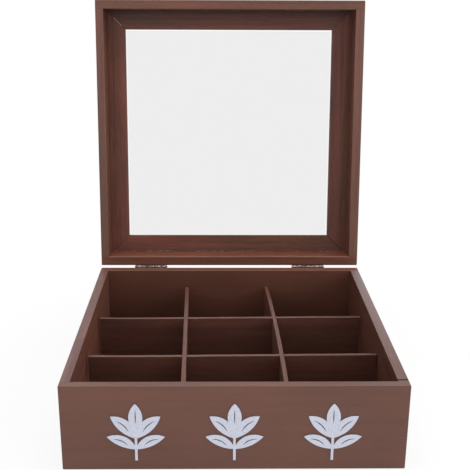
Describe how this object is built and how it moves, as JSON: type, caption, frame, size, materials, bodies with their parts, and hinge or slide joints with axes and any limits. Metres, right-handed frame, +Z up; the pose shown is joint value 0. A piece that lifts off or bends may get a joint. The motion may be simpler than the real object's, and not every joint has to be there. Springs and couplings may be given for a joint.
{
  "type": "tea bag box",
  "caption": "Square wooden tea box with a grid of open compartments and a hinged, windowed lid that stands open.",
  "frame": {"origin": "centre of the underside of the base, on the surface it stands on", "axes": "+X to the right seen from the front, +Y to the back, +Z up"},
  "size_m": [0.24, 0.3053, 0.3042],
  "materials": {
    "stained_wood": "brown satin paint",
    "divider_wood": "thin board, brown satin paint",
    "pane": "clear",
    "hinge_metal": "plated, bare",
    "nails": "bright",
    "ornament": "fine glitter foil"
  },
  "bodies": {
    "base": {"front_panel": "stained_wood", "rear_panel": "stained_wood", "left_side_panel": "stained_wood", "right_side_panel": "stained_wood", "bottom_panel": "stained_wood", "base_corner_brads": "nails", "bottom_brads": "nails", "ornament_left": "ornament", "ornament_centre": "ornament", "ornament_right": "ornament", "hinge_left_base_leaf": "hinge_metal", "hinge_left_pin": "hinge_metal", "hinge_left_base_screws": "hinge_metal", "hinge_right_base_leaf": "hinge_metal", "hinge_right_pin": "hinge_metal", "hinge_right_base_screws": "hinge_metal"},
    "lid": {"lid_front_wall": "stained_wood", "lid_rear_wall": "stained_wood", "lid_left_wall": "stained_wood", "lid_right_wall": "stained_wood", "lid_front_rail": "stained_wood", "lid_rear_rail": "stained_wood", "lid_left_rail": "stained_wood", "lid_right_rail": "stained_wood", "window_pane": "pane", "lid_corner_brads": "nails", "lid_rail_brads": "nails", "hinge_left_lid_leaf": "hinge_metal", "hinge_left_lid_screws": "hinge_metal", "hinge_right_lid_leaf": "hinge_metal", "hinge_right_lid_screws": "hinge_metal"},
    "divider_insert": {"long_divider_left": "divider_wood", "long_divider_right": "divider_wood", "cross_divider_front": "divider_wood", "cross_divider_rear": "divider_wood"}
  },
  "joints": [
    {"name": "lid_hinge", "type": "hinge", "parent": "base", "child": "lid", "pos_m": [0, 0.1214, 0.06515], "axis": [1, 0, 0], "range_deg": [0, 97.7]},
    {"name": "divider_lift", "type": "slide", "parent": "base", "child": "divider_insert", "axis": [0, 0, 1], "range_m": [0, 0.04]}
  ]
}
